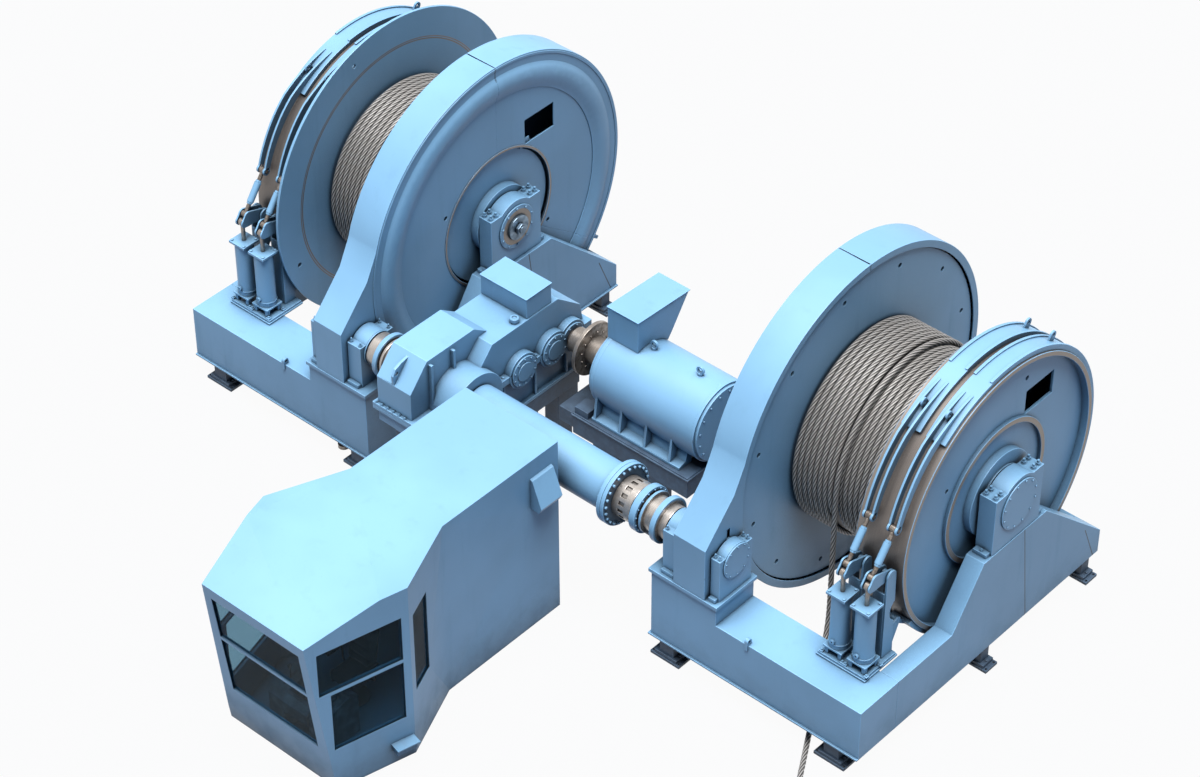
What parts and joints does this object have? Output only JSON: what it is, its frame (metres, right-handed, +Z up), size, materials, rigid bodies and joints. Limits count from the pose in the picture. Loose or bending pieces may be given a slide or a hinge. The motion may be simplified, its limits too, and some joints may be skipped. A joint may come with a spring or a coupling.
{
  "type": "hydraulic winch",
  "caption": "Double-drum hoisting winch: geared rope drums with band brakes released by hydraulic cylinders, gearbox, motor, shaft line and control cabin.",
  "frame": {"origin": "centre of the bounding box at floor level, without the free ropes and their sockets", "axes": "+Z up, +X along the drum shafts towards the drum that is further from the gearbox, +Y away from the control cabin"},
  "size_m": [12.205, 10.3659, 5.06],
  "materials": {
    "painted": "blue machine enamel, satin",
    "frame_paint": "blue machine enamel, satin",
    "bare_steel": "machined steel, lightly oxidised",
    "rope": "stranded steel wire rope, greased",
    "dark_paint": "blue machine enamel, worn",
    "window": "tinted cabin glazing",
    "upholstery": "woven seat cloth",
    "desk": "moulded desk panels",
    "knob": "moulded lever and knob"
  },
  "bodies": {
    "drum_left_body": {"drum_left": "painted", "ring_gear_left": "bare_steel", "drum_shaft_left": "bare_steel", "winding_left": "rope"},
    "drum_right_body": {"drum_right": "painted", "ring_gear_right": "bare_steel", "drum_shaft_right": "bare_steel", "winding_right": "rope"},
    "output_line": {"pinions": "bare_steel", "output_shaft": "bare_steel", "torque_tube": "painted", "coupling_hub": "bare_steel"},
    "motor_line": {"motor_shaft": "bare_steel"},
    "levers_left": {"brake_levers_left": "painted"},
    "levers_right": {"brake_levers_right": "painted"},
    "rods_left": {"piston_rods_left": "bare_steel"},
    "rods_right": {"piston_rods_right": "bare_steel"},
    "ties_left": {"tie_rods_left": "bare_steel"},
    "ties_right": {"tie_rods_right": "bare_steel"},
    "door": {"cabin_door": "painted"},
    "stick_left": {"control_lever_left": "knob"},
    "stick_right": {"control_lever_right": "knob"},
    "base": {"front_beam_left": "frame_paint", "inner_beam_left": "frame_paint", "outer_beam_left": "frame_paint", "guard_front_left": "painted", "guard_rear_left": "painted", "pinion_bearings_left": "painted", "drum_bearings_left": "painted", "brake_bands_left": "painted", "brake_stand_left": "painted", "brake_cylinders_left": "painted", "free_rope_left": "rope", "front_beam_right": "frame_paint", "inner_beam_right": "frame_paint", "outer_beam_right": "frame_paint", "guard_front_right": "painted", "guard_rear_right": "painted", "pinion_bearings_right": "painted", "drum_bearings_right": "painted", "brake_bands_right": "painted", "brake_stand_right": "painted", "brake_cylinders_right": "painted", "free_rope_right": "rope", "rear_beams": "frame_paint", "feet": "dark_paint", "bearing_covers": "painted", "rope_sockets": "bare_steel", "gearbox_lower": "painted", "gearbox_upper": "painted", "gearbox_caps": "painted", "lube_box": "painted", "motor_housing": "painted", "terminal_box": "painted", "gearbox_plinth": "dark_paint", "motor_base": "dark_paint", "cabin_shell": "painted", "cabin_glass": "window", "operator_seat": "upholstery", "console": "desk"}
  },
  "joints": [
    {"name": "drum_left_spin", "type": "hinge", "parent": "base", "child": "drum_left_body", "pos_m": [-4.18, 2.683, 2.56], "axis": [1, 0, 0], "continuous": true},
    {"name": "drum_right_spin", "type": "hinge", "parent": "base", "child": "drum_right_body", "pos_m": [4.18, 2.683, 2.56], "axis": [1, 0, 0], "continuous": true},
    {"name": "output_spin", "type": "hinge", "parent": "base", "child": "output_line", "pos_m": [0, -0.02266, 2.015], "axis": [1, 0, 0], "continuous": true},
    {"name": "motor_spin", "type": "hinge", "parent": "base", "child": "motor_line", "pos_m": [-0.53, 1.89734, 2.015], "axis": [1, 0, 0], "continuous": true},
    {"name": "brake_lever_left", "type": "hinge", "parent": "base", "child": "levers_left", "pos_m": [-5.3275, 0.572, 2.55], "axis": [-1, 0, 0], "range_deg": [0, 4]},
    {"name": "piston_left", "type": "slide", "parent": "base", "child": "rods_left", "axis": [0, 0, 1], "range_m": [0, 0.0243]},
    {"name": "tie_rod_left", "type": "hinge", "parent": "levers_left", "child": "ties_left", "pos_m": [-5.3275, 0.289, 2.665], "axis": [-1, 0, 0], "range_deg": [-3.66, 0]},
    {"name": "brake_lever_right", "type": "hinge", "parent": "base", "child": "levers_right", "pos_m": [5.3275, 0.572, 2.55], "axis": [-1, 0, 0], "range_deg": [0, 4]},
    {"name": "piston_right", "type": "slide", "parent": "base", "child": "rods_right", "axis": [0, 0, 1], "range_m": [0, 0.0243]},
    {"name": "tie_rod_right", "type": "hinge", "parent": "levers_right", "child": "ties_right", "pos_m": [5.3275, 0.289, 2.665], "axis": [-1, 0, 0], "range_deg": [-3.66, 0]},
    {"name": "door_hinge", "type": "hinge", "parent": "base", "child": "door", "pos_m": [-0.526, -1.573, 1.145], "axis": [0, 0, -1], "range_deg": [0, 100]},
    {"name": "stick_hinge_left", "type": "hinge", "parent": "base", "child": "stick_left", "pos_m": [-0.065, -4.333, 0.6], "axis": [1, 0, 0], "range_deg": [-15, 15]},
    {"name": "stick_hinge_right", "type": "hinge", "parent": "base", "child": "stick_right", "pos_m": [0.655, -4.333, 0.6], "axis": [1, 0, 0], "range_deg": [-15, 15]}
  ],
  "couplings": [
    {"joint": "drum_right_spin", "follows": "drum_left_spin", "ratio": 1},
    {"joint": "output_spin", "follows": "drum_left_spin", "ratio": -7.1176},
    {"joint": "motor_spin", "follows": "drum_left_spin", "ratio": 85.412},
    {"joint": "piston_left", "follows": "brake_lever_left", "m_per_rad": 0.345},
    {"joint": "tie_rod_left", "follows": "brake_lever_left", "ratio": -0.8889},
    {"joint": "piston_right", "follows": "brake_lever_right", "m_per_rad": 0.345},
    {"joint": "tie_rod_right", "follows": "brake_lever_right", "ratio": -0.8889}
  ]
}
